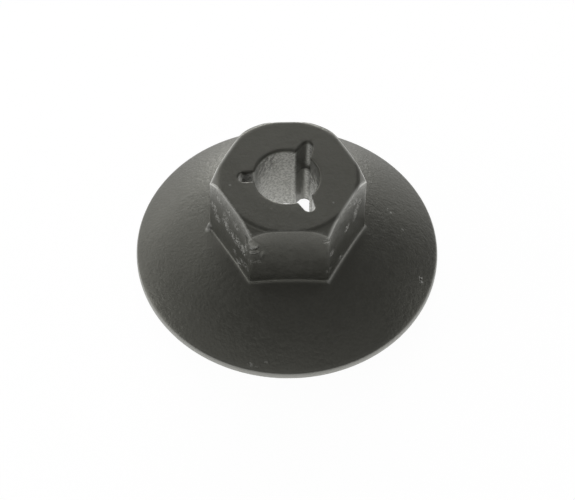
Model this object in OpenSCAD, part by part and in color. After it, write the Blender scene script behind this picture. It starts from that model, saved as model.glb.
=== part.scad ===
// Fender liner nut: a hexagon head moulded in one piece with a domed, dished flange.
// The smooth bore forms its own thread on a stud, and three stepped slots let the bore give.
// All sizes are in millimetres. The flange stands on z = 0 and the head points up.

/* [Hex head] */
// Width across the flats of the hexagon
hex_across_flats = 10; // [9:0.1:14]
// Height from the seat to the top face
nut_height = 9.8; // [8:0.1:16]
// How far the round top face reaches past the middle of each flat
top_face_reach = 0.05; // [0:0.05:0.4]
// Slope of the corner chamfer, measured down from the top face
corner_chamfer_angle = 50; // [30:1:55]
// Radius of the round between the top face and the corner chamfer
top_edge_round = 0.5; // [0.1:0.05:0.8]
// Radius of the fillet where the flats meet the flange
foot_fillet = 0.25; // [0.1:0.05:0.6]

/* [Flange] */
// Diameter of the flange
flange_d = 22.7; // [18:0.1:28]
// Height of the upright edge of the rim
rim_h = 0.5; // [0.4:0.05:1]
// Radius of the round between the rim and the dome
rim_round = 0.15; // [0.05:0.05:0.3]
// Radius of the dome that the top of the flange follows
dome_r = 19; // [15:0.5:40]
// Thickness of the flange, measured square to the dome
flange_wall = 1.1; // [0.8:0.05:1.6]

/* [Bore] */
// Diameter of the smooth bore
bore_d = 4.85; // [4:0.05:6]
// Radius of the round at the top mouth of the bore
mouth_round = 0.1; // [0.05:0.05:0.4]
// Depth of the lead-in chamfer at the underside of the bore
lead_in = 0.1; // [0.05:0.05:0.4]

/* [Slots] */
// Number of slots round the bore
slot_count = 3; // [2:1:3]
// Width of a slot
slot_w = 1.05; // [0.8:0.05:1.3]
// Reach of a slot from the axis, above its step
slot_reach = 3.6; // [3.4:0.05:4.1]
// Depth of the step below the top face
slot_step_depth = 3; // [1:0.1:5]
// How far the step juts back towards the axis
slot_step_w = 0.45; // [0.2:0.05:0.6]

/* [Hidden] */
// Sides of the head
hex_sides = 6;
// Direction of the first slot, which points at a corner of the hexagon
first_slot_angle = 180;
// Overlap that lets a cut pass clear of the face it opens
clear = 0.5;
// Share of the foot fillet's radius by which it sinks into the dome
fillet_bite = 0.02;
$fn = 96;

hex_apothem = hex_across_flats / 2;
hex_corner_r = hex_apothem / cos(180 / hex_sides);
flange_r = flange_d / 2;
bore_r = bore_d / 2;
top_face_r = hex_apothem + top_face_reach;
// The dome passes through the top of the rim, so its centre lies below the seat
dome_centre_z = rim_h - sqrt(dome_r ^ 2 - flange_r ^ 2);
dome_top_z = dome_centre_z + dome_r;
// The dish shares the centre of the dome, which keeps the flange one thickness throughout
dish_r = dome_r - flange_wall;
// Height at which the lead-in chamfer meets the straight wall of the bore
lead_in_end_z = dome_centre_z + sqrt(dish_r ^ 2 - (bore_r + lead_in) ^ 2) + lead_in;

// Half section of the turned blank of the head: top face, soft edge and corner chamfer
module head_section() {
    blank_r = hex_corner_r + clear;
    blank_z = nut_height - (blank_r - top_face_r) * tan(corner_chamfer_angle);
    // The round touches the top face and the chamfer at this distance from their shared edge
    touch = top_edge_round * tan(corner_chamfer_angle / 2);
    polygon([
        [0, 0],
        [blank_r, 0],
        [blank_r, blank_z],
        [top_face_r + touch * cos(corner_chamfer_angle), nut_height - touch * sin(corner_chamfer_angle)],
        [top_face_r - touch, nut_height],
        [0, nut_height]
    ]);
    translate([top_face_r - touch, nut_height - top_edge_round])
        intersection() {
            circle(r = top_edge_round);
            square([top_edge_round, top_edge_round]);
        }
}

// Half section of one side of the head, turned about the line square to its flat
// through the centre of the dome, so that its foot flares evenly into the dome
module side_section() {
    fillet_h = hex_apothem + foot_fillet;
    fillet_r = sqrt((dome_r + foot_fillet * (1 - fillet_bite)) ^ 2 - fillet_h ^ 2);
    reach = nut_height - dome_centre_z + hex_corner_r;
    translate([0, -reach])
        square([reach, reach + hex_apothem]);
    difference() {
        square([fillet_r, fillet_h]);
        translate([fillet_r, fillet_h])
            circle(r = foot_fillet);
    }
}

// Hexagon head, as the shape that all of its sides and the turned blank share
module hex_head() {
    intersection() {
        rotate_extrude()
            head_section();
        intersection_for (i = [0 : hex_sides - 1])
            rotate((i + 0.5) * 360 / hex_sides)
                translate([0, 0, dome_centre_z])
                    rotate([0, 90, 0])
                        rotate_extrude($fn = 4 * $fn)
                            side_section();
    }
}

// Half section of the flange before it is dished, with a round from the rim into the dome
module flange_section() {
    round_r = flange_r - rim_round;
    round_z = dome_centre_z + sqrt((dome_r - rim_round) ^ 2 - round_r ^ 2);
    // The round leaves the dome on the line from the dome's centre through the round's centre
    round_start_r = round_r * dome_r / (dome_r - rim_round);
    intersection() {
        translate([0, dome_centre_z])
            circle(r = dome_r, $fn = 4 * $fn);
        square([round_start_r, dome_top_z]);
    }
    square([flange_r, round_z]);
    translate([round_r, round_z])
        circle(r = rim_round);
}

// Hollow under the flange, which leaves a narrow flat seat along the rim
module dish() {
    translate([0, 0, dome_centre_z])
        sphere(r = dish_r, $fn = 2 * $fn);
}

// Straight bore with a rounded top mouth and a lead-in at the underside
module bore() {
    translate([0, 0, -clear])
        cylinder(d = bore_d, h = nut_height + 2 * clear);
    rotate_extrude()
        difference() {
            translate([0, nut_height - mouth_round])
                square([bore_r + mouth_round, mouth_round + clear]);
            translate([bore_r + mouth_round, nut_height - mouth_round])
                circle(r = mouth_round);
        }
    translate([0, 0, lead_in_end_z - lead_in - clear])
        cylinder(r1 = bore_r + lead_in + clear, r2 = bore_r, h = lead_in + clear);
}

// Outline of one slot, from the axis to its round end
module slot_outline(reach) {
    end_r = slot_w / 2;
    translate([0, -end_r])
        square([reach - end_r, slot_w]);
    translate([reach - end_r, 0])
        circle(r = end_r);
}

// Slots that run the whole length of the bore, each with a step part of the way down
module slots() {
    for (i = [0 : slot_count - 1])
        rotate(first_slot_angle + i * 360 / slot_count) {
            translate([0, 0, nut_height - slot_step_depth])
                linear_extrude(slot_step_depth + clear)
                    slot_outline(slot_reach);
            translate([0, 0, -clear])
                linear_extrude(nut_height + clear)
                    slot_outline(slot_reach - slot_step_w);
        }
}

// The whole nut, moulded in one piece
module flanged_nut() {
    color("dimgray")
        difference() {
            union() {
                hex_head();
                rotate_extrude()
                    flange_section();
            }
            dish();
            bore();
            slots();
        }
}

flanged_nut();
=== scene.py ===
"""Fender liner nut in dark moulded plastic, standing on a white light table."""
import logging
import math
from dataclasses import dataclass
from enum import Enum
from functools import reduce
from typing import Callable, Sequence

import bmesh
import bpy
import numpy as np
from mathutils import Matrix, Vector


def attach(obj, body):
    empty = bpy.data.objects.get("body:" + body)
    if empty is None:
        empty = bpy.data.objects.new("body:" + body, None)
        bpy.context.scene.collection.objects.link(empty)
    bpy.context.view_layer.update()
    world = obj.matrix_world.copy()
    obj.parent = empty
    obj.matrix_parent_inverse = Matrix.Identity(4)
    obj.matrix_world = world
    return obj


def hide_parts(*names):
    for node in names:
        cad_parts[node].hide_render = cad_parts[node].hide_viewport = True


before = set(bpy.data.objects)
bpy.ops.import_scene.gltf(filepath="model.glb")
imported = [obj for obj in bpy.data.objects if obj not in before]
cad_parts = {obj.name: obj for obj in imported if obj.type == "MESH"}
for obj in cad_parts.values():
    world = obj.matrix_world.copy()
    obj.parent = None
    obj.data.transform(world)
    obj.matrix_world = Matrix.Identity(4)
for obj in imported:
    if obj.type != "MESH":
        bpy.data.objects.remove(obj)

LOG = logging.getLogger("fender_liner_nut")
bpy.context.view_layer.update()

# Shapes are modelled with one unit to the millimetre and shrunk to metres at the end
MM = 0.001
# Overlap that lets a cut pass clear of the face it opens, in millimetres
CLEAR = 1.0
# Points of a mesh that lie closer than this are one point, in millimetres
MERGE = 1e-4
# Number of steps between no weight and full weight in a vertex group
WEIGHT_STEPS = 10

Outline = list[tuple[float, float]]
Place = tuple[float, float, float]
Span = tuple[float, float]
Colour = tuple[float, float, float, float]
Piece = bpy.types.Object
Socket = bpy.types.NodeSocket

WHITE: Colour = (1.0, 1.0, 1.0, 1.0)


class Join(Enum):
    """Ways in which one solid acts on another."""

    ADD = "UNION"
    CUT = "DIFFERENCE"
    SHARE = "INTERSECT"


def arc(centre: tuple[float, float], radius: float, start: float, end: float, steps: int) -> Outline:
    """Lay out points along a round stretch of a section.

    Args:
        centre: Radius and height of the arc's centre.
        radius: Radius of the arc.
        start: Angle of its first point in degrees, anticlockwise from outwards.
        end: Angle of its last point in degrees.
        steps: Number of straight steps along it.

    Returns:
        The points, both ends included.
    """
    angles = [math.radians(start + (end - start) * i / steps) for i in range(steps + 1)]
    return [(centre[0] + radius * math.cos(a), centre[1] + radius * math.sin(a)) for a in angles]


def turn(name: str, outline: Outline, steps: int) -> Piece:
    """Turn a half section about the upright axis, as on a lathe.

    Args:
        name: Name of the new piece.
        outline: Radius and height of each point, from axis to axis, or once round for a ring.
        steps: Number of steps in the full turn.

    Returns:
        The turned solid.
    """
    bpy.ops.object.select_all(action="DESELECT")
    bpy.ops.mesh.primitive_plane_add(size=1.0)
    piece = bpy.context.object
    piece.name = name
    bpy.ops.object.mode_set(mode="EDIT")
    bpy.ops.mesh.select_all(action="SELECT")
    bpy.ops.mesh.merge(type="CENTER")
    bpy.ops.transform.translate(value=(outline[0][0], 0.0, outline[0][1]))
    for here, there in zip(outline, outline[1:]):
        move = (there[0] - here[0], 0.0, there[1] - here[1])
        bpy.ops.mesh.extrude_region_move(TRANSFORM_OT_translate={"value": move})
    bpy.ops.mesh.select_all(action="SELECT")
    bpy.ops.mesh.spin(steps=steps, angle=math.tau, center=(0.0, 0.0, 0.0), axis=(0.0, 0.0, 1.0))
    bpy.ops.mesh.select_all(action="SELECT")
    bpy.ops.mesh.remove_doubles(threshold=MERGE)
    bpy.ops.mesh.normals_make_consistent(inside=False)
    bpy.ops.object.mode_set(mode="OBJECT")
    return piece


def pick(piece: Piece, test: Callable[[Vector], bool]) -> None:
    """Select points of a piece in edit mode by their place.

    Args:
        piece: The piece that is being edited.
        test: Says whether a point at a place is selected.
    """
    bpy.ops.mesh.select_all(action="DESELECT")
    cage = bmesh.from_edit_mesh(piece.data)
    for point in cage.verts:
        point.select = test(point.co)
    cage.select_flush_mode()
    bmesh.update_edit_mesh(piece.data)


def make_active(piece: Piece) -> None:
    """Leave one piece selected and active.

    Args:
        piece: The piece.
    """
    bpy.ops.object.select_all(action="DESELECT")
    piece.select_set(True)
    bpy.context.view_layer.objects.active = piece


def settle(piece: Piece) -> None:
    """Move a piece's place, turn and scale into its mesh."""
    make_active(piece)
    bpy.ops.object.transform_apply(location=True, rotation=True, scale=True)


def finish_with(piece: Piece, kind: str, **settings: object) -> None:
    """Add a modifier to a piece and apply it.

    Args:
        piece: The piece to change.
        kind: Type of the modifier.
        settings: Values of the modifier's own settings.
    """
    make_active(piece)
    step = piece.modifiers.new(kind.lower(), kind)
    for key, value in settings.items():
        setattr(step, key, value)
    bpy.ops.object.modifier_apply(modifier=step.name)


def combine(piece: Piece, tool: Piece, how: Join) -> None:
    """Let a tool solid act on a piece, and throw the tool away.

    Args:
        piece: The solid that is kept.
        tool: The solid that acts on it.
        how: Whether the tool adds to the piece, cuts it or shares its space.
    """
    finish_with(piece, "BOOLEAN", operation=how.value, object=tool, solver="EXACT")
    bpy.data.objects.remove(tool, do_unlink=True)


def points_of(piece: Piece) -> np.ndarray:
    """Read the places of a piece's points.

    Args:
        piece: The piece.

    Returns:
        The places, one row each.
    """
    flat = np.empty(3 * len(piece.data.vertices), dtype=np.float32)
    piece.data.vertices.foreach_get("co", flat)
    return flat.reshape(-1, 3).astype(np.float64)


def weigh(piece: Piece, name: str, weights: np.ndarray) -> str:
    """Put weights on a piece's points as a vertex group, in even steps.

    Args:
        piece: The piece.
        name: Name of the group.
        weights: One weight from 0 to 1 for each point.

    Returns:
        The group's name.
    """
    group = piece.vertex_groups.new(name=name)
    steps = np.rint(weights * WEIGHT_STEPS).astype(int)
    for step in range(1, WEIGHT_STEPS + 1):
        group.add(np.flatnonzero(steps == step).tolist(), step / WEIGHT_STEPS, "REPLACE")
    return group.name


@dataclass(frozen=True)
class Knock:
    """A mark of a hard blow: plastic raised or cut away as a rounded lump. Millimetres and degrees."""

    place: Place
    size: Place
    bearing: float = 0.0
    lean: float = 0.0
    how: Join = Join.CUT

    def tool(self) -> Piece:
        """Model the lump at its place.

        Returns:
            The solid that adds the mark or cuts it.
        """
        bpy.ops.object.select_all(action="DESELECT")
        bpy.ops.mesh.primitive_ico_sphere_add(subdivisions=3, radius=1.0)
        lump = bpy.context.object
        lump.scale = self.size
        lump.rotation_euler = (0.0, math.radians(self.lean), math.radians(self.bearing))
        lump.location = self.place
        settle(lump)
        return lump


@dataclass(frozen=True)
class Scuff:
    """A patch that has been rubbed rough, or one that carries a painted highlight or painted shade.
    Millimetres, and shares of 1.
    """

    place: Place
    reach: float
    tone: float
    rough: float = 1.0
    speckle: float = 1.0
    # Share of the rubbing held off: painted shade in a groove
    shade: float = 0.0


# Fin of flash at the foot of the left corner
FIN = Knock((-5.78, 0.00, 3.62), (0.24, 0.13, 0.78), 0.0, 13.0, Join.ADD)

# Torn flap, hook and grooves on the corner at the front left, and the fin
HEAD_KNOCKS = (
    Knock((-2.74, -5.00, 8.14), (0.24, 0.18, 0.64), 0.0, -16.0, Join.ADD),
    Knock((-2.54, -5.00, 8.02), (0.24, 0.15, 0.24), 0.0, -20.0, Join.ADD),
    Knock((-2.62, -5.00, 7.24), (0.36, 0.12, 0.11), 0.0, -8.0, Join.ADD),
    Knock((-1.98, -5.00, 6.90), (0.10, 0.05, 0.52), 0.0, 8.0, Join.ADD),
    Knock((-3.37, -4.16, 6.55), (0.10, 0.11, 0.38), 300.0, -31.0, Join.ADD),
    Knock((-3.18, -4.50, 7.10), (0.09, 0.11, 0.34), 300.0, -13.0, Join.ADD),
    FIN,
    Knock((-3.16, -4.54, 8.08), (0.12, 0.26, 0.52), 300.0, -6.0),
    Knock((-3.73, -3.56, 3.90), (0.14, 0.10, 0.12), 300.0),
)

# Nick in the rim at the right
RIM_KNOCK = Knock((11.12, -2.34, 0.42), (0.14, 0.24, 0.16))


def alike(rows: Sequence[tuple[float, ...]], **looks: float) -> list[Scuff]:
    """Make patches that look alike, each from its place, its reach and its tone."""
    return [Scuff(row[:3], row[3], row[4], **looks) for row in rows]


# Patches that have been rubbed, and a few that carry a painted highlight or painted shade
SCUFFS = (
    # Flat at the front left
    *alike((
        (-5.48, -0.52, 6.76, 0.59, 0.5), (-5.26, -0.89, 6.00, 0.59, 0.5), (-5.11, -1.16, 8.51, 0.49, 0.5),
        (-4.61, -2.02, 7.57, 0.49, 0.5), (-4.64, -1.95, 6.72, 0.56, 0.5), (-4.50, -2.20, 6.43, 0.56, 0.5),
        (-4.39, -2.40, 8.71, 0.49, 0.5), (-4.03, -3.01, 6.29, 0.66, 0.5), (-3.89, -3.26, 8.15, 0.49, 0.5),
        (-3.78, -3.45, 6.45, 0.66, 0.5), (-3.45, -4.03, 6.30, 0.64, 0.5), (-4.00, -3.07, 4.71, 0.39, 0.3),
        (-3.46, -4.01, 4.62, 0.44, 0.3), (-3.73, -3.54, 3.90, 0.44, 0.5), (-3.17, -4.50, 4.80, 0.44, 0.3),
    )),
    # Torn flap, hook and ridge on the corner at the front left
    *alike((
        (-2.86, -5.08, 8.50, 0.30, 0.30), (-2.73, -5.14, 8.12, 0.36, 0.42), (-2.48, -5.10, 8.05, 0.26, 0.42),
        (-2.88, -5.08, 7.86, 0.24, 0.65), (-2.80, -5.06, 7.27, 0.19, 0.34), (-2.56, -5.08, 7.27, 0.19, 0.24),
        (-2.30, -5.06, 7.27, 0.18, 0.16), (-1.98, -5.05, 7.00, 0.30, 0.05), (-2.00, -5.05, 6.60, 0.30, 0.05),
    ), rough=0.0, speckle=0.2),
    # Foot of the ridge
    *alike((
        (-2.30, -5.00, 6.07, 0.30, 0.12),
    ), rough=0.6),
    # Painted shade in the groove beside the flap, where the rubbing is held off
    *alike((
        (-3.16, -4.53, 8.42, 0.20, 0.0), (-3.13, -4.58, 8.02, 0.22, 0.0), (-3.11, -4.62, 7.64, 0.20, 0.0),
    ), rough=0.0, speckle=0.0, shade=1.0),
    # Jags on the left of the torn corner
    *alike((
        (-3.42, -4.10, 6.70, 0.20, 0.55), (-3.33, -4.26, 6.42, 0.20, 0.55), (-3.20, -4.50, 7.28, 0.17, 0.45),
        (-3.15, -4.58, 6.95, 0.17, 0.45),
    ), rough=0.0, speckle=0.3),
    # Corner below the hook
    *alike((
        (-2.89, -5.00, 6.02, 0.35, 0.25),
    ), rough=0.5),
    # Fin, and a painted highlight on the edge where the left slot meets the bore
    *alike((
        (-5.98, -0.06, 3.45, 0.34, 0.60), (-5.90, -0.06, 3.90, 0.34, 0.55), (-2.48, 0.53, 9.50, 0.20, 0.45),
        (-2.48, 0.53, 9.20, 0.20, 0.55), (-2.48, 0.53, 8.90, 0.20, 0.60), (-2.48, 0.53, 8.60, 0.20, 0.65),
        (-2.48, 0.53, 8.30, 0.20, 0.65),
    ), rough=0.0, speckle=0.0),
    # Flat at the front right
    *alike((
        (4.94, -1.45, 8.70, 0.54, 0.5), (5.20, -0.99, 7.69, 0.49, 0.5), (5.05, -1.25, 7.43, 0.54, 0.5),
        (4.91, -1.49, 6.75, 0.49, 0.5), (4.46, -2.28, 9.10, 0.49, 0.5), (4.29, -2.57, 6.69, 0.49, 0.5),
        (3.88, -3.28, 4.19, 0.39, 0.5), (2.89, -5.00, 8.50, 0.49, 0.5), (3.13, -4.58, 6.44, 0.44, 0.5),
        (3.01, -4.78, 4.68, 0.40, 0.25),
    )),
    # Nicks in the dome by the rim, at the right
    *alike((
        (9.94, -3.23, 1.13, 0.25, 0.7), (9.98, -3.52, 1.06, 0.20, 0.7),
    )),
    # Scratch across the dome at the right
    *alike((
        (7.63, 2.12, 2.53, 0.14, 0.6), (7.74, 1.97, 2.50, 0.14, 0.6), (7.85, 1.83, 2.47, 0.14, 0.6),
        (8.71, 0.48, 2.14, 0.14, 0.6),
    ), rough=0.0),
    # Nicks in the dome by the rim, at the front
    *alike((
        (-2.97, -10.51, 0.81, 0.20, 0.4), (-2.90, -10.62, 0.78, 0.16, 0.4), (-2.46, -10.74, 0.74, 0.16, 0.4),
        (-1.79, -10.49, 1.01, 0.16, 0.4),
    )),
    # Specks on the top face
    *alike((
        (-4.29, -0.75, 9.80, 0.12, 0.30), (-1.30, -2.92, 9.80, 0.10, 0.10), (3.23, -2.45, 9.80, 0.10, 0.25),
    ), rough=0.0, speckle=0.0),
)


@dataclass(frozen=True)
class Rubbing:
    """Rubbed patches, and a few patches of painted highlight and painted shade, with ragged outlines. Waves
    are in radians to the millimetre.
    """

    patches: Sequence[Scuff] = SCUFFS
    ragged_depth: float = 0.35
    ragged_waves: tuple[Place, Place] = ((11.0, 7.0, 15.0), (-8.0, 13.0, 10.0))
    rise: float = 1.8

    def weigh(self, places: np.ndarray, share: Callable[[Scuff], float]) -> np.ndarray:
        """Weigh points by how far inside the rubbed patches they are.

        Args:
            places: Places of the points in millimetres, one row each.
            share: The share of 1 that counts at the middle of a patch.

        Returns:
            A weight from 0 to 1 for each point.
        """
        weights = np.zeros(len(places))
        first, second = self.ragged_waves
        ragged = self.ragged_depth * np.sin(places @ first) * np.sin(places @ second)
        for scuff in self.patches:
            near = 1.0 - np.linalg.norm(places - scuff.place, axis=1) / scuff.reach
            near = np.where(near > 0.0, near + ragged * scuff.speckle, 0.0)
            weights = np.maximum(weights, share(scuff) * np.clip(near * self.rise, 0.0, 1.0))
        return weights

    def covers(self, places: np.ndarray, margin: float) -> np.ndarray:
        """Say which points lie in a rubbed patch or by its edge.

        Args:
            places: Places of the points in millimetres, one row each.
            margin: How far past a patch a point may lie.

        Returns:
            True or false for each point.
        """
        covered = np.zeros(len(places), dtype=bool)
        for scuff in self.patches:
            covered |= np.linalg.norm(places - scuff.place, axis=1) < scuff.reach + margin
        return covered


@dataclass(frozen=True)
class FlatWearAndLight:
    """Spanner wear on one flat with painted light over it, both strongest along its top edge and fading down
    the flat, and painted highlights along its top edge and its foot. Degrees, millimetres and shares of 1.
    """

    bearing: float
    start: float
    end: float
    edge_highlight_start: float
    edge_highlight_end: float
    # Strength of the painted highlight along the foot
    foot: float = 0.0
    onto_chamfer: float = 0.03
    depth: float = 0.8
    edge_highlight_width: float = 0.12
    foot_highlight_width: float = 0.13
    past_corner: float = 0.1
    past_flat: float = 0.3
    behind_flat: float = 0.12
    line_inset: float = 0.03
    foot_stand: float = 0.06

    def weigh(self, places: np.ndarray, nut: "FlangedNut") -> tuple[np.ndarray, np.ndarray]:
        """Weigh points by how worn they are and by how much painted light and painted highlight they carry.

        Args:
            places: Places of the points in millimetres, one row each.
            nut: The nut that the flat is on.

        Returns:
            Weights from 0 to 1 for the face of the flat, worn and painted paler towards the top, and for the
            painted highlight along its top edge and its foot.
        """
        turned = math.radians(self.bearing)
        out = places[:, 0] * math.cos(turned) + places[:, 1] * math.sin(turned)
        along = places[:, 1] * math.cos(turned) - places[:, 0] * math.sin(turned)
        below = nut.edge_z(np.hypot(out, along)) - places[:, 2]
        share = np.clip(0.5 + along / nut.across_flats * math.sqrt(3.0), 0.0, 1.0)
        worst = self.start + (self.end - self.start) * share
        in_reach = np.abs(along) < nut.corner_r / 2 + self.past_corner
        in_reach &= out < nut.apothem + self.past_flat
        # Painted light: the face is paler near the top edge and fades down the flat, as the floor's
        # reflection does
        painted_light_fade = np.exp(-np.maximum(below, 0.0) / self.depth)
        face = np.where(out > nut.apothem - self.behind_flat, worst * painted_light_fade, 0.0)
        # Painted highlight along the top edge of the flat
        inset = np.maximum(nut.apothem - self.line_inset - out, 0.0) / self.onto_chamfer
        brightest = self.edge_highlight_start + (self.edge_highlight_end - self.edge_highlight_start) * share
        edge = brightest * np.exp(-(inset ** 2) - (below / self.edge_highlight_width) ** 2)
        # Painted highlight along the foot, where the flat meets the dome
        above = np.linalg.norm(places - (0.0, 0.0, nut.dome_centre_z), axis=1) - nut.dome_r
        off_foot = np.hypot(above - self.foot_stand, out - nut.apothem - self.foot_stand)
        foot = self.foot * np.exp(-(off_foot / self.foot_highlight_width) ** 2)
        line = np.where(out > 0.0, np.maximum(edge, foot), 0.0)
        return face * in_reach, line * in_reach


# Wear with painted light on each flat and painted highlight on its top edge, each at the clockwise end and at
# the other end, and painted highlight on its foot
FLAT_WEAR_AND_LIGHT = (
    FlatWearAndLight(30.0, 0.6, 0.5, 0.9, 0.9, 0.0, 0.12),
    FlatWearAndLight(90.0, 0.4, 0.4, 0.4, 0.4),
    FlatWearAndLight(150.0, 0.5, 0.6, 0.9, 0.9, 0.0, 0.14),
    FlatWearAndLight(210.0, 0.85, 0.45, 0.95, 0.40, 0.05, 0.06),
    FlatWearAndLight(270.0, 0.13, 0.13, 0.15, 0.15),
    FlatWearAndLight(330.0, 0.40, 0.90, 0.72, 1.0, 0.34, 0.10),
)


@dataclass
class FlangedNut:
    """The nut: hexagon head, domed and dished flange, slotted bore. Sizes are in millimetres and degrees."""

    across_flats: float = 10.0
    height: float = 9.8
    top_face_reach: float = 0.17
    chamfer_angle: float = 55.0
    top_edge_round: float = 0.5
    flange_d: float = 22.68
    rim_h: float = 0.5
    rim_round: float = 0.4
    seat_round: float = 0.03
    dome_r: float = 19.0
    flange_wall: float = 1.1
    bore_d: float = 4.85
    mouth_round: float = 0.1
    lead_in: float = 0.1
    slot_count: int = 3
    slot_w: float = 0.92
    slot_mouths: tuple[Span, ...] = ((0.55, 0.38), (0.53, 0.73), (0.73, 0.59))
    slot_reach: float = 3.6
    slot_step_depth: float = 3.0
    slot_steps_w: tuple[float, ...] = (0.3, 0.2, 0.24)
    first_slot_angle: float = 180.0
    core_shift: Span = (-0.12, -0.03)
    sides: int = 6
    core_r: float = 1.0
    turn_steps: int = 240
    bore_steps: int = 170
    mesh_step: float = 0.06
    triangles: int = 190_000
    bruise_depth: float = 0.11
    bruise_grain: float = 0.22
    bore_depth: float = 0.06
    bore_grain: float = 0.13
    rough_from_mouth: float = 0.25
    rough_from_dish: float = 0.3
    foot_smoothing: int = 36
    foot_stand: float = 0.18
    foot_reach: float = 0.3
    edge_smoothing: int = 3
    top_edge_depth: float = 0.3
    top_edge_width: float = 0.6
    fine_highlight: float = 0.05
    fine_margin: int = 3
    # Painted light on the rim's upright edge and its shoulder, a pale strip lit by the table
    rim_painted_light: float = 0.62
    rim_painted_light_fade: Span = (0.05, 0.10)
    shoulder_painted_light: float = 0.03
    shoulder_painted_light_fade: Span = (0.24, 0.36)

    @property
    def apothem(self) -> float:
        """Distance from the axis to a flat."""
        return self.across_flats / 2

    @property
    def corner_r(self) -> float:
        """Distance from the axis to a corner of the hexagon."""
        return self.apothem / math.cos(math.pi / self.sides)

    @property
    def dome_centre_z(self) -> float:
        """Height of the dome's centre, which lies below the seat."""
        return self.rim_h - math.sqrt(self.dome_r ** 2 - (self.flange_d / 2) ** 2)

    @property
    def dish_r(self) -> float:
        """Radius of the hollow underside, which shares the dome's centre."""
        return self.dome_r - self.flange_wall

    def edge_z(self, radius: np.ndarray) -> np.ndarray:
        """Height of the corner chamfer at distances from the axis."""
        fall = (radius - self.apothem - self.top_face_reach) * math.tan(math.radians(self.chamfer_angle))
        return self.height - np.maximum(fall, 0.0)

    def dish_z(self, radius: float) -> float:
        """Height of the hollow underside at a distance from the axis."""
        return self.dome_centre_z + math.sqrt(self.dish_r ** 2 - radius ** 2)

    def build(self) -> Piece:
        """Model the whole nut.

        Returns:
            The finished piece, in metres, at the origin.
        """
        nut = self._head()
        flange = self._flange()
        for piece in (nut, flange):
            self._open(piece)
        for knock in HEAD_KNOCKS:
            combine(nut, knock.tool(), knock.how)
        combine(flange, RIM_KNOCK.tool(), RIM_KNOCK.how)
        make_active(nut)
        flange.select_set(True)
        bpy.ops.object.join()
        self._soften(nut)
        return nut

    def _open(self, piece: Piece) -> None:
        """Cut the bore and the slots out of a piece, a little off the middle as the mould's core stood.

        Args:
            piece: The piece to cut.
        """
        tools = [self._bore()]
        for i in range(self.slot_count):
            angle = self.first_slot_angle + 360.0 * i / self.slot_count
            step_z = self.height - self.slot_step_depth
            mouth = self.slot_mouths[i]
            tools.append(self._slot(angle, self.slot_reach, mouth, step_z))
            tools.append(self._slot(angle, self.slot_reach - self.slot_steps_w[i], mouth, -CLEAR))
        for tool in tools:
            tool.location = (*self.core_shift, 0.0)
            settle(tool)
            combine(piece, tool, Join.CUT)

    def _flange(self) -> Piece:
        """Turn the flange with its dish, seat, rim and dome.

        Returns:
            The flange.
        """
        rim_r = self.flange_d / 2
        centre = (0.0, self.dome_centre_z)
        seat_r = math.sqrt(self.dish_r ** 2 - self.dome_centre_z ** 2)
        seat_angle = math.degrees(math.acos(seat_r / self.dish_r))
        round_r = rim_r - self.rim_round
        round_z = self.dome_centre_z + math.sqrt((self.dome_r - self.rim_round) ** 2 - round_r ** 2)
        dome_angle = math.degrees(math.atan2(round_z - self.dome_centre_z, round_r))
        core = [math.degrees(math.acos(self.core_r / radius)) for radius in (self.dish_r, self.dome_r)]
        outline = arc(centre, self.dish_r, core[0], seat_angle, steps=40)
        outline += arc((rim_r - self.seat_round, self.seat_round), self.seat_round, -90.0, 0.0, steps=4)
        outline += arc((round_r, round_z), self.rim_round, 0.0, dome_angle, steps=6)
        outline += arc(centre, self.dome_r, dome_angle, core[1], steps=48)[1:]
        return turn("flange", outline + outline[:1], self.turn_steps)

    def _head(self) -> Piece:
        """Turn a blank with a soft top edge and a chamfer, and cut it to a hexagon.

        Returns:
            The head, which reaches down into the flange.
        """
        slope = math.radians(self.chamfer_angle)
        face_r = self.apothem + self.top_face_reach
        touch = self.top_edge_round * math.tan(slope / 2)
        blank_r = self.corner_r + CLEAR
        blank_z = self.height - (blank_r - face_r) * math.tan(slope)
        foot_z = self.dish_z(self.bore_d / 2) + self.flange_wall / 8
        outline = [(self.core_r, foot_z), (blank_r, foot_z), (blank_r, blank_z)]
        edge_centre = (face_r - touch, self.height - self.top_edge_round)
        outline += arc(edge_centre, self.top_edge_round, 90.0 - self.chamfer_angle, 90.0, steps=8)
        outline.append((self.core_r, self.height))
        head = turn("flanged_nut_body", outline + outline[:1], self.turn_steps)
        bpy.ops.object.select_all(action="DESELECT")
        bpy.ops.mesh.primitive_cylinder_add(
            vertices=self.sides,
            radius=self.corner_r,
            depth=2 * self.height,
            rotation=(0.0, 0.0, math.pi / 2),
        )
        combine(head, bpy.context.object, Join.SHARE)
        return head

    def _bore(self) -> Piece:
        """Turn the tool that cuts the bore, its rounded mouth and its lead-in.

        Returns:
            The cutting tool.
        """
        bore_r = self.bore_d / 2
        lead_r = bore_r + self.lead_in
        lead_z = self.dish_z(lead_r)
        mouth = (bore_r + self.mouth_round, self.height - self.mouth_round)
        outline = [(0.0, lead_z - CLEAR), (lead_r + CLEAR, lead_z - CLEAR), (bore_r, lead_z + self.lead_in)]
        outline += arc(mouth, self.mouth_round, 180.0, 90.0, steps=6)
        outline += [(mouth[0], self.height + CLEAR), (0.0, self.height + CLEAR)]
        return turn("bore", outline, self.bore_steps)

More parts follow.
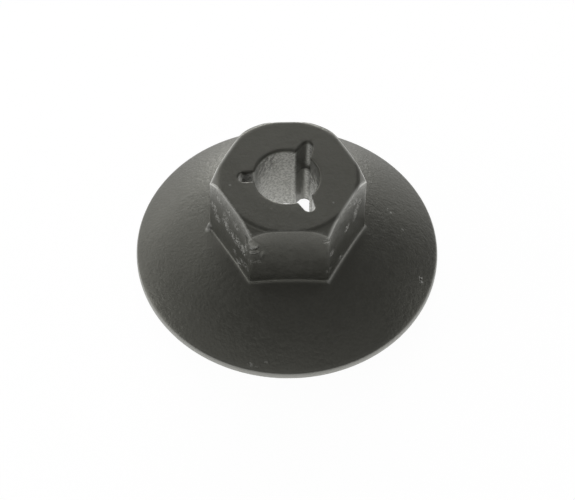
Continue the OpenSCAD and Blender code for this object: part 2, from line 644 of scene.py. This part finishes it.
    def _slot(self, angle: float, reach: float, mouth: Span, low: float) -> Piece:
        """Draw out a round tool from the axis to the end of a slot, splayed or narrowed towards the bore.

        Args:
            angle: Direction of the slot in degrees.
            reach: Distance from the axis to the slot's round end.
            mouth: Distances from its middle line to its clockwise and its other side at the bore wall.
            low: Height at which the tool stops.

        Returns:
            The cutting tool.
        """
        end_r = self.slot_w / 2
        centre = reach - end_r
        top = self.height + CLEAR
        bpy.ops.object.select_all(action="DESELECT")
        bpy.ops.mesh.primitive_cylinder_add(
            vertices=48, radius=end_r, depth=top - low, location=(centre, 0.0, (top + low) / 2)
        )
        tool = bpy.context.object
        settle(tool)
        bpy.ops.object.mode_set(mode="EDIT")
        pick(tool, lambda place: place.x < centre - MERGE)
        bpy.ops.transform.translate(value=(-centre, 0.0, 0.0))
        for side, half in zip((-1.0, 1.0), mouth):
            run = centre / (centre - math.sqrt((self.bore_d / 2) ** 2 - half ** 2))
            spread = 1.0 + (half / end_r - 1.0) * run
            pick(tool, lambda place: place.x < end_r and place.y * side > 0.0)
            bpy.ops.transform.resize(value=(1.0, spread, 1.0), center_override=(0.0, 0.0, 0.0))
        bpy.ops.object.mode_set(mode="OBJECT")
        tool.rotation_euler.z = math.radians(angle)
        settle(tool)
        return tool

    def _soften(self, nut: Piece) -> None:
        """Give the sharp solid the soft edges and wear of a used moulding, with painted light, highlights and
        shade, and bring it to real size.

        Args:
            nut: The joined solid.
        """
        rubbing = Rubbing()
        finish_with(nut, "REMESH", mode="VOXEL", voxel_size=self.mesh_step)
        foot = weigh(nut, "foot", self._by_foot(points_of(nut)))
        finish_with(nut, "SMOOTH", factor=0.5, iterations=self.foot_smoothing, vertex_group=foot)
        finish_with(nut, "SMOOTH", factor=0.5, iterations=self.edge_smoothing)
        places = points_of(nut)
        bruised = rubbing.weigh(places, lambda scuff: scuff.rough)
        self._roughen(nut, "bruised", bruised, self.bruise_grain, self.bruise_depth)
        self._roughen(nut, "bore", self._in_bore(places), self.bore_grain, self.bore_depth)
        nut.vertex_groups.clear()
        loose = weigh(nut, "loose", self._plain(places, rubbing))
        share = self.triangles / (2 * len(nut.data.polygons))
        finish_with(nut, "DECIMATE", ratio=share, vertex_group=loose)
        nut.vertex_groups.clear()
        self._mark_wear_and_light(nut, rubbing)
        nut.scale = (MM, MM, MM)
        settle(nut)
        bpy.ops.object.shade_smooth()
        finish_with(nut, "WEIGHTED_NORMAL", mode="FACE_AREA", weight=50)

    def _mark_wear_and_light(self, nut: Piece, rubbing: Rubbing) -> None:
        """Write the wear, the painted light, the painted highlights and the painted shade into the mesh,
        where the finish reads it.

        Args:
            nut: The piece.
            rubbing: Where it has been rubbed.
        """
        places = points_of(nut)
        faces, edges = zip(*(wear.weigh(places, self) for wear in FLAT_WEAR_AND_LIGHT))
        smooth = rubbing.weigh(places, lambda scuff: scuff.tone * (1.0 - scuff.speckle))
        # Painted shade: rubbing is held off in the groove beside the flap
        outside_painted_shade = 1.0 - rubbing.weigh(places, lambda scuff: scuff.shade)
        # Frosting carries wear with painted light; burnishing carries wear with painted highlights on edges,
        # feet, rim and slot edge
        wear = {
            "speckled": rubbing.weigh(places, lambda scuff: scuff.tone * scuff.speckle),
            "frosted_and_painted_light": np.max(faces, axis=0) * outside_painted_shade,
            "burnished_and_painted_highlight": np.max([np.max(edges, axis=0) * outside_painted_shade, smooth, self._rim_painted_light(places)], axis=0),
        }
        for name, weights in wear.items():
            marks = nut.data.attributes.new(name, "FLOAT", "POINT")
            marks.data.foreach_set("value", weights.astype(np.float32))

    @staticmethod
    def _roughen(nut: Piece, name: str, weights: np.ndarray, grain: float, depth: float) -> None:
        """Push the surface in and out at random.

        Args:
            nut: The piece.
            name: Name of the texture and of the weights.
            weights: One weight from 0 to 1 for each point.
            grain: Size of the lumps in millimetres.
            depth: How far they push in all.
        """
        lumps = bpy.data.textures.new(name, "CLOUDS")
        lumps.noise_scale = grain
        lumps.noise_depth = 2
        group = weigh(nut, name, weights)
        finish_with(nut, "DISPLACE", texture=lumps, strength=depth, mid_level=0.55, vertex_group=group)

    def _in_bore(self, places: np.ndarray) -> np.ndarray:
        """Weigh the points on the walls of the bore and the slots with 1, and others with 0.

        Args:
            places: Places of the points in millimetres, one row each.

        Returns:
            A weight for each point.
        """
        radius = np.hypot(places[:, 0] - self.core_shift[0], places[:, 1] - self.core_shift[1])
        low = self.dish_z(self.bore_d / 2) + self.rough_from_dish
        high = self.height - self.rough_from_mouth
        inside = radius < self.slot_reach + self.mouth_round
        return (inside & (places[:, 2] > low) & (places[:, 2] < high)).astype(np.float64)

    def _by_foot(self, places: np.ndarray) -> np.ndarray:
        """Weigh the points by the line where the flats meet the dome with 1, and others with 0.

        Args:
            places: Places of the points in millimetres, one row each.

        Returns:
            A weight for each point.
        """
        turns = [math.tau * (i + 0.5) / self.sides for i in range(self.sides)]
        across = [places[:, 0] * math.cos(t) + places[:, 1] * math.sin(t) for t in turns]
        off_flat = np.max(across, axis=0) - self.apothem
        off_dome = np.linalg.norm(places - (0.0, 0.0, self.dome_centre_z), axis=1) - self.dome_r
        near = np.abs(off_flat - self.foot_stand) < self.foot_reach
        near &= np.abs(off_dome - self.foot_stand) < self.foot_reach
        off_fin = np.linalg.norm(places - FIN.place, axis=1)
        return (near & (off_fin > FIN.size[2])).astype(np.float64)

    def _plain(self, places: np.ndarray, rubbing: Rubbing) -> np.ndarray:
        """Weigh points on worn edges, painted highlight lines and patches with 0, to keep their fine mesh,
        and others with 1.

        Args:
            places: Places of the points in millimetres, one row each.
            rubbing: Where the nut has been rubbed.

        Returns:
            A weight for each point.
        """
        radius = np.hypot(places[:, 0], places[:, 1])
        fine = places[:, 2] > self.height - self.top_edge_depth
        fine &= radius > self.apothem - self.top_edge_width
        fine |= rubbing.covers(places, self.fine_margin * self.mesh_step)
        for wear in FLAT_WEAR_AND_LIGHT:
            fine |= wear.weigh(places, self)[1] > self.fine_highlight
        return 1.0 - fine

    def _rim_painted_light(self, places: np.ndarray) -> np.ndarray:
        """Weigh the points on the upright edge of the rim and on its round shoulder by how much painted light
        they carry, a pale strip that stands for the light table's glow on the rim.

        Args:
            places: Places of the points in millimetres, one row each.

        Returns:
            A weight for each point.
        """
        inset = self.flange_d / 2 - np.hypot(places[:, 0], places[:, 1])
        edge = self.rim_painted_light * np.interp(inset, self.rim_painted_light_fade, (1.0, 0.0))
        shoulder = self.shoulder_painted_light * np.interp(inset, self.shoulder_painted_light_fade, (1.0, 0.0))
        return np.maximum(edge, shoulder)

    def dress(self, nut: Piece, finish: "PlasticFinish") -> None:
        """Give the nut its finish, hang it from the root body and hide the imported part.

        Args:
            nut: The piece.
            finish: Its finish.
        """
        nut.data.materials.clear()
        nut.data.materials.append(finish.make())
        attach(nut, "root")
        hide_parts("flanged_nut")


class Sheet:
    """A node tree that is filled one node at a time."""

    def __init__(self, tree: bpy.types.NodeTree) -> None:
        """Take the tree to fill."""
        self.tree = tree

    def add(self, kind: str, settings: dict[str, object] | None = None, **inputs: object) -> bpy.types.Node:
        """Add a node, set it and join up its inputs.

        Args:
            kind: Type of the node, without its ShaderNode prefix where it has one.
            settings: Values of the node's own settings.
            inputs: A value or a node's output for each input, by its name or, as i0 and so on, its number.

        Returns:
            The new node.
        """
        node = self.tree.nodes.new(kind if kind.startswith("Node") else "ShaderNode" + kind)
        for key, value in (settings or {}).items():
            setattr(node, key, value)
        for key, value in inputs.items():
            numbered = key[0] == "i" and key[1:].isdigit()
            socket = node.inputs[int(key[1:])] if numbered else node.inputs[key.replace("_", " ")]
            if isinstance(value, Socket):
                self.tree.links.new(value, socket)
            else:
                socket.default_value = value
        return node

    def math(self, what: str, first: object, second: object = 0.0) -> Socket:
        """Work out a number from one or two others."""
        return self.add("Math", {"operation": what}, i0=first, i1=second).outputs[0]

    def product(self, *factors: object) -> Socket:
        """Multiply two or more numbers."""
        return reduce(lambda total, factor: self.math("MULTIPLY", total, factor), factors)

    def ramp(self, value: object, span: Span, to: Span = (0.0, 1.0)) -> Socket:
        """Map a number smoothly from one range to another, held at its ends.

        Args:
            value: The number.
            span: The range that it is mapped from.
            to: The range that it is mapped to.

        Returns:
            The mapped number.
        """
        settings = {"interpolation_type": "SMOOTHSTEP"}
        node = self.add("MapRange", settings, i0=value, i1=span[0], i2=span[1], i3=to[0], i4=to[1])
        return node.outputs[0]

    def noise(self, place: Socket, scale: float, detail: float = 2.0) -> Socket:
        """Lay even random grain over the piece."""
        return self.add("TexNoise", None, Vector=place, Scale=scale, Detail=detail).outputs["Fac"]

    def radius(self, place: Socket) -> Socket:
        """Work out the distance from the upright axis."""
        flat = self.add("VectorMath", {"operation": "MULTIPLY"}, i0=place, i1=(1.0, 1.0, 0.0)).outputs[0]
        return self.add("VectorMath", {"operation": "LENGTH"}, i0=flat).outputs["Value"]

    def blend(self, share: object, first: object, second: object) -> Socket:
        """Blend two colours."""
        return self.add("Mix", {"data_type": "RGBA"}, i0=share, i6=first, i7=second).outputs[2]


def new_group(name: str, outputs: Sequence[str]) -> tuple[bpy.types.NodeTree, bpy.types.Node]:
    """Start a node group that reads a place and puts out numbers.

    Args:
        name: Name of the group.
        outputs: Name of each number that it puts out.

    Returns:
        The group's tree and its input node.
    """
    tree = bpy.data.node_groups.new(name, "ShaderNodeTree")
    tree.interface.new_socket("Place", in_out="INPUT", socket_type="NodeSocketVector")
    for output in outputs:
        tree.interface.new_socket(output, in_out="OUTPUT", socket_type="NodeSocketFloat")
    return tree, tree.nodes.new("NodeGroupInput")


@dataclass(frozen=True)
class MouldedGrain:
    """Fine satin grain and faint mottling of a moulded face. Scales are in patches to the metre."""

    fine: float = 4200.0
    broad: float = 1700.0
    cloud: float = 330.0
    tone_shares: Place = (0.45, 0.35, 0.2)
    tone_span: Span = (0.33, 0.67)
    height_shares: Span = (0.6, 0.4)
    head_r: float = 6.0
    head_soft: float = 0.4
    head_share: float = 0.3

    def group(self) -> bpy.types.NodeTree:
        """Build the node group.

        Returns:
            A group that puts out the tone and the height of the grain, each from 0 to 1.
        """
        tree, start = new_group("moulded_grain", ("Tone", "Height"))
        sheet = Sheet(tree)
        place = start.outputs["Place"]
        fine = sheet.noise(place, self.fine, 3.0)
        broad = sheet.noise(place, self.broad)
        cloud = sheet.noise(place, self.cloud)
        tone = sheet.product(fine, self.tone_shares[0])
        tone = sheet.math("ADD", tone, sheet.product(broad, self.tone_shares[1]))
        tone = sheet.math("ADD", tone, sheet.product(cloud, self.tone_shares[2]))
        height = sheet.product(fine, self.height_shares[0])
        height = sheet.math("ADD", height, sheet.product(broad, self.height_shares[1]))
        off_head = ((self.head_r - self.head_soft) * MM, (self.head_r + self.head_soft) * MM)
        share = sheet.ramp(sheet.radius(place), off_head, (self.head_share, 1.0))
        sheet.add(
            "NodeGroupOutput", None,
            Tone=sheet.ramp(tone, self.tone_span), Height=sheet.product(height, share),
        )
        return tree


@dataclass(frozen=True)
class Rise:
    """A smooth rise from 0 to 1 about a size, or a fall where the softness is below 0. Millimetres."""

    middle: float
    soft: float = 0.12

    def over(self, sheet: Sheet, value: Socket) -> Socket:
        """Work out how far a length has risen.

        Args:
            sheet: The node tree that it is worked out in.
            value: The length in metres.

        Returns:
            The share of 1.
        """
        half = abs(self.soft)
        span = ((self.middle - half) * MM, (self.middle + half) * MM)
        return sheet.ramp(value, span, (float(self.soft < 0.0), float(self.soft > 0.0)))


@dataclass(frozen=True)
class BoreWall:
    """Painted light and painted shade on the rough wall of the bore and its slots, standing for the light
    table's glow from below. Millimetres, degrees, and flecks to the metre.
    """

    inside: Rise = Rise(3.8, -0.12)
    above_dish: Rise = Rise(3.05)
    below_mouth: Rise = Rise(9.48, -0.12)
    in_slot: Rise = Rise(2.53, 0.05)
    in_bore: Rise = Rise(2.53, -0.12)
    front_slot: Rise = Rise(-0.9, -0.12)
    back_slot: Rise = Rise(0.9)
    back_slot_angle: float = 60.0
    dim_side: Rise = Rise(0.3)
    ledge_low: Rise = Rise(6.5, 0.1)
    ledge_high: Rise = Rise(6.9, -0.1)
    left_slot_mouth: Rise = Rise(-2.62, -0.06)
    left_slot_end: Rise = Rise(-3.42)
    left_slot_share: float = 0.55
    flecks: float = 2700.0
    fleck_span: Span = (0.45, 0.51)
    left_wall: Rise = Rise(-0.9, -0.6)
    left_top: Rise = Rise(7.6, 1.0)
    left_lip: Rise = Rise(-2.2, -0.1)
    left_lip_share: float = 0.7
    right_wall: Rise = Rise(1.3, 0.15)
    right_flecked: Rise = Rise(6.6, 0.9)
    right_dark: Rise = Rise(8.1, 0.6)

    def group(self) -> bpy.types.NodeTree:
        """Build the node group.

        Returns:
            A group that puts out 1 on the walls of the bore and the slots, which take painted light, less of
            it in the left slot; in the slot in front, which takes a painted glow; on the dim side of the slot
            behind, which takes painted shade; and where the mouth of the bore takes painted shade.
        """
        tree, start = new_group("bore_wall", ("Mask", "Pale", "Dim", "Dark"))
        sheet = Sheet(tree)
        place = start.outputs["Place"]
        x, y, z = sheet.add("SeparateXYZ", None, Vector=place).outputs
        radius = sheet.radius(place)
        upright = sheet.product(self.above_dish.over(sheet, z), self.below_mouth.over(sheet, z))
        # Less painted light in the left slot
        left_slot_dimmed = sheet.product(
            self.left_slot_mouth.over(sheet, x), self.left_slot_end.over(sheet, x), self.left_slot_share
        )
        in_slot = self.in_slot.over(sheet, radius)
        sheet.add(
            "NodeGroupOutput", None,
            Mask=sheet.product(self.inside.over(sheet, radius), sheet.math("SUBTRACT", upright, left_slot_dimmed)),
            Pale=sheet.product(in_slot, self.front_slot.over(sheet, y)),
            Dim=sheet.product(in_slot, self._dim(sheet, x, y, z)),
            Dark=sheet.product(self._dark(sheet, place, x, z), self.in_bore.over(sheet, radius)),
        )
        return tree

    def _dim(self, sheet: Sheet, x: Socket, y: Socket, z: Socket) -> Socket:
        """Mask the painted shade on the dim side of the slot behind, and under its ledge.

        Args:
            sheet: The node tree.
            x: Place to the right in metres.
            y: Place to the back in metres.
            z: Height in metres.

        Returns:
            The mask.
        """
        turned = math.radians(self.back_slot_angle)
        aside = sheet.math("SUBTRACT", sheet.product(y, math.cos(turned)), sheet.product(x, math.sin(turned)))
        ledge = sheet.product(self.ledge_low.over(sheet, z), self.ledge_high.over(sheet, z))
        either = sheet.math("MAXIMUM", self.dim_side.over(sheet, aside), ledge)
        return sheet.product(either, self.back_slot.over(sheet, y))

    def _dark(self, sheet: Sheet, place: Socket, x: Socket, z: Socket) -> Socket:
        """Mask the painted shade below the bore's mouth: dark flecks at its left, standing for shadows among
        the grain, and the dark wall at its right.

        Args:
            sheet: The node tree.
            place: Place in metres.
            x: Place to the right in metres.
            z: Height in metres.

        Returns:
            The mask.
        """
        # Dark flecks: painted shadows among the grain
        fleck = sheet.ramp(sheet.noise(place, self.flecks, 3.0), self.fleck_span)
        lip = sheet.product(self.left_lip.over(sheet, x), self.left_lip_share)
        fleck = sheet.math("MAXIMUM", fleck, lip)
        left = sheet.product(self.left_wall.over(sheet, x), self.left_top.over(sheet, z), fleck)
        flecked = sheet.math("MAXIMUM", fleck, self.right_dark.over(sheet, z))
        right = sheet.product(self.right_wall.over(sheet, x), self.right_flecked.over(sheet, z), flecked)
        return sheet.math("MAXIMUM", left, right)


@dataclass(frozen=True)
class PlasticFinish:
    """Dark grey moulded plastic with a satin grain, paler where it is rubbed and where painted highlights
    lie, with painted light and painted shade in the bore.
    """

    dark: Colour = (0.0215, 0.0215, 0.0180, 1.0)
    pale: Colour = (0.0290, 0.0290, 0.0250, 1.0)
    rubbed_and_highlight: Colour = (0.520, 0.520, 0.497, 1.0)
    worn_bare_and_highlight: Colour = (0.880, 0.880, 0.845, 1.0)
    # Painted light on the bore's wall, from low to high, standing for light from the table below
    bore_painted_light_low: Colour = (0.120, 0.120, 0.113, 1.0)
    bore_painted_light_high: Colour = (0.640, 0.640, 0.618, 1.0)
    # Painted glow in the slot in front, standing for the lit table seen through it
    front_slot_painted_glow: Colour = (0.920, 0.920, 0.900, 1.0)
    # Painted shade on the dim side of the slot behind and under its ledge
    back_slot_painted_shade: Colour = (0.120, 0.120, 0.113, 1.0)
    # Painted shade below the mouth of the bore
    bore_mouth_painted_shade: Colour = (0.050, 0.050, 0.046, 1.0)
    roughness: float = 0.36
    grain_roughness: float = 0.10
    specular: float = 1.0
    specular_tint: Colour = (1.0, 0.99, 0.87, 1.0)
    ior: float = 1.58
    grain_height: float = 0.045 * MM
    grain_strength: float = 1.0
    speckles: float = 6400.0
    speckle_span: Span = (0.44, 0.58)
    frosting: float = 6400.0
    frost_span: Span = (0.36, 0.62)
    frost_shares: Span = (0.35, 1.0)
    bare_span: Span = (0.65, 1.0)
    rubbed_roughness: float = 0.2
    mouth_shade_share: float = 0.9

    def make(self) -> bpy.types.Material:
        """Build the material.

        Returns:
            The finished material.
        """
        material = bpy.data.materials.new("moulded_plastic")
        material.use_nodes = True
        sheet = Sheet(material.node_tree)
        place = sheet.add("TexCoord").outputs["Object"]
        grain = sheet.add("Group", {"node_tree": MouldedGrain().group()}, Place=place).outputs
        frost = sheet.ramp(sheet.noise(place, self.frosting, 3.0), self.frost_span, self.frost_shares)
        rub_and_light = self._rub_and_light(sheet, place, frost)
        colour = sheet.blend(grain["Tone"], self.dark, self.pale)
        colour = self._paint_bore_light(sheet, place, frost, colour)
        # Rubbed wear and painted highlights share these pale colours
        worn_and_lit = sheet.blend(sheet.ramp(rub_and_light, self.bare_span), self.rubbed_and_highlight, self.worn_bare_and_highlight)
        colour = sheet.blend(rub_and_light, colour, worn_and_lit)
        half = self.grain_roughness / 2
        spread = sheet.ramp(grain["Tone"], (0.0, 1.0), (self.roughness - half, self.roughness + half))
        rough = sheet.math("ADD", spread, sheet.product(rub_and_light, self.rubbed_roughness))
        bump = sheet.add(
            "Bump", None, Strength=self.grain_strength, Distance=self.grain_height, Height=grain["Height"]
        )
        shader = material.node_tree.nodes["Principled BSDF"]
        shader.inputs["IOR"].default_value = self.ior
        shader.inputs["Specular IOR Level"].default_value = self.specular
        shader.inputs["Specular Tint"].default_value = self.specular_tint
        link = material.node_tree.links.new
        link(colour, shader.inputs["Base Color"])
        link(rough, shader.inputs["Roughness"])
        link(bump.outputs["Normal"], shader.inputs["Normal"])
        return material

    def _rub_and_light(self, sheet: Sheet, place: Socket, frost: Socket) -> Socket:
        """Read the wear, the painted light and the painted highlights from the mesh, and break them up with
        speckle and frost.

        Args:
            sheet: The node tree.
            place: Place in metres.
            frost: Fine random grain.

        Returns:
            How rubbed or painted with light the surface is, from 0 to 1.
        """
        speckled, frosted_and_painted_light, burnished_and_painted_highlight = (
            sheet.add("Attribute", {"attribute_name": name}).outputs["Fac"]
            for name in ("speckled", "frosted_and_painted_light", "burnished_and_painted_highlight")
        )
        speckle = sheet.ramp(sheet.noise(place, self.speckles), self.speckle_span)
        rub_and_light = sheet.math("MAXIMUM", burnished_and_painted_highlight, sheet.product(speckled, speckle))
        return sheet.math("MAXIMUM", rub_and_light, sheet.product(frosted_and_painted_light, frost))

    def _paint_bore_light(self, sheet: Sheet, place: Socket, frost: Socket, colour: Socket) -> Socket:
        """Lay the painted light and painted shade of the bore over the colour of the moulded faces.

        Args:
            sheet: The node tree.
            place: Place in metres.
            frost: Fine random grain.
            colour: Colour of the moulded faces.

        Returns:
            The colour with the bore in it.
        """
        bore = sheet.add("Group", {"node_tree": BoreWall().group()}, Place=place).outputs
        wall = sheet.blend(frost, self.bore_painted_light_low, self.bore_painted_light_high)
        wall = sheet.blend(sheet.product(bore["Dark"], self.mouth_shade_share), wall, self.bore_mouth_painted_shade)
        wall = sheet.blend(bore["Dim"], wall, self.back_slot_painted_shade)
        wall = sheet.blend(bore["Pale"], wall, self.front_slot_painted_glow)
        return sheet.blend(bore["Mask"], colour, wall)


def outward(bearing: float, elevation: float) -> Vector:
    """Turn a bearing and an elevation into a direction away from the nut.

    Args:
        bearing: Bearing in degrees, anticlockwise from the right.
        elevation: Elevation in degrees.

    Returns:
        The direction, one unit long.
    """
    turned = math.radians(bearing)
    lift = math.radians(elevation)
    return Vector((math.cos(lift) * math.cos(turned), math.cos(lift) * math.sin(turned), math.sin(lift)))


@dataclass(frozen=True)
class LampRow:
    """A row of equal soft boxes that face the nut. A box's glow is 1 where it looks white."""

    name: str
    elevation: float
    glows: Sequence[Span]
    width: float = 0.22
    depth: float = 0.15
    distance: float = 0.4

    def hang(self) -> None:
        """Hang each box at its bearing, turned to the nut."""
        for bearing, glow in self.glows:
            lamp = bpy.data.lights.new(f"{self.name}_{bearing:.0f}", "AREA")
            lamp.shape = "RECTANGLE"
            lamp.size = self.width
            lamp.size_y = self.depth
            lamp.energy = glow * math.pi * self.width * self.depth
            stand = bpy.data.objects.new(lamp.name, lamp)
            bpy.context.scene.collection.objects.link(stand)
            out = outward(bearing, self.elevation)
            stand.location = out * self.distance
            stand.rotation_euler = out.to_track_quat("Z", "Y").to_euler()


@dataclass
class Studio:
    """Light table, lamps and camera. Metres and degrees, and pixels of the picture."""

    floor_size: float = 3.0
    table_glow: float = 0.95
    table_colour: float = 0.1
    world_glow: float = 0.20
    focal_px: float = 3600.0
    image_px: tuple[int, int] = (575, 500)
    camera_distance: float = 268.55 * MM
    camera_bearing: float = -92.17
    camera_elevation: float = 54.30
    camera_roll: float = 1.052
    target_height: float = 4.0 * MM
    target_px: Span = (287.55, 222.2)
    sensor_mm: float = 36.0
    near_clip: float = 0.01
    rows: Sequence[LampRow] = (
        LampRow(
            "low_box", 14.0,
            ((0.0, 0.95), (60.0, 0.6), (90.0, 5.4), (120.0, 1.35), (150.0, 1.0), (180.0, 1.95)),
        ),
        LampRow(
            "high_box", 42.0,
            ((90.0, 0.78), (135.0, 0.72), (180.0, 0.28), (225.0, 0.45), (270.0, 0.47), (315.0, 0.22)),
        ),
    )

    def build(self) -> None:
        """Set out the table, the lamps, the world and the camera."""
        self._table()
        self._world()
        for row in self.rows:
            row.hang()
        self._camera()
        bpy.context.scene.view_settings.view_transform = "Standard"

    def _table(self) -> None:
        """Lay the white table, which glows and still takes a faint shadow."""
        bpy.ops.object.select_all(action="DESELECT")
        bpy.ops.mesh.primitive_plane_add(size=self.floor_size)
        table = bpy.context.object
        table.name = "light_table"
        material = bpy.data.materials.new("light_table")
        material.use_nodes = True
        shader = material.node_tree.nodes["Principled BSDF"]
        shader.inputs["Base Color"].default_value = (self.table_colour,) * 3 + (1.0,)
        shader.inputs["Specular IOR Level"].default_value = 0.0
        shader.inputs["Roughness"].default_value = 1.0
        shader.inputs["Emission Color"].default_value = WHITE
        shader.inputs["Emission Strength"].default_value = self.table_glow
        table.data.materials.append(material)

    def _world(self) -> None:
        """Fill the room with weak even light."""
        world = bpy.data.worlds.new("room")
        world.use_nodes = True
        background = world.node_tree.nodes["Background"]
        background.inputs["Color"].default_value = WHITE
        background.inputs["Strength"].default_value = self.world_glow
        bpy.context.scene.world = world

    def _camera(self) -> None:
        """Stand the camera where the photograph was taken from."""
        lens = bpy.data.cameras.new("camera")
        lens.sensor_fit = "HORIZONTAL"
        lens.sensor_width = self.sensor_mm
        lens.lens = lens.sensor_width * self.focal_px / self.image_px[0]
        lens.clip_start = self.near_clip
        stand = bpy.data.objects.new("camera", lens)
        bpy.context.scene.collection.objects.link(stand)
        out = outward(self.camera_bearing, self.camera_elevation)
        target = Vector((0.0, 0.0, self.target_height))
        across = (self.target_px[0] - self.image_px[0] / 2) / self.focal_px
        down = (self.target_px[1] - self.image_px[1] / 2) / self.focal_px
        facing = out.to_track_quat("Z", "Y").to_matrix()
        roll = Matrix.Rotation(math.radians(self.camera_roll), 3, "Z")
        nod = Matrix.Rotation(math.atan(down), 3, "X") @ Matrix.Rotation(math.atan(across), 3, "Y")
        aim = (facing @ roll @ nod).to_4x4()
        stand.matrix_world = Matrix.Translation(target + out * self.camera_distance) @ aim
        bpy.context.scene.camera = stand


def main() -> None:
    """Model the nut, dress it and set out the studio."""
    logging.basicConfig(level=logging.INFO, format="%(message)s")
    body = FlangedNut()
    nut = body.build()
    body.dress(nut, PlasticFinish())
    LOG.info("%s: %d faces", nut.name, len(nut.data.polygons))
    Studio().build()
    LOG.info("light table, lamps and camera in place")


if __name__ == "__main__":
    main()
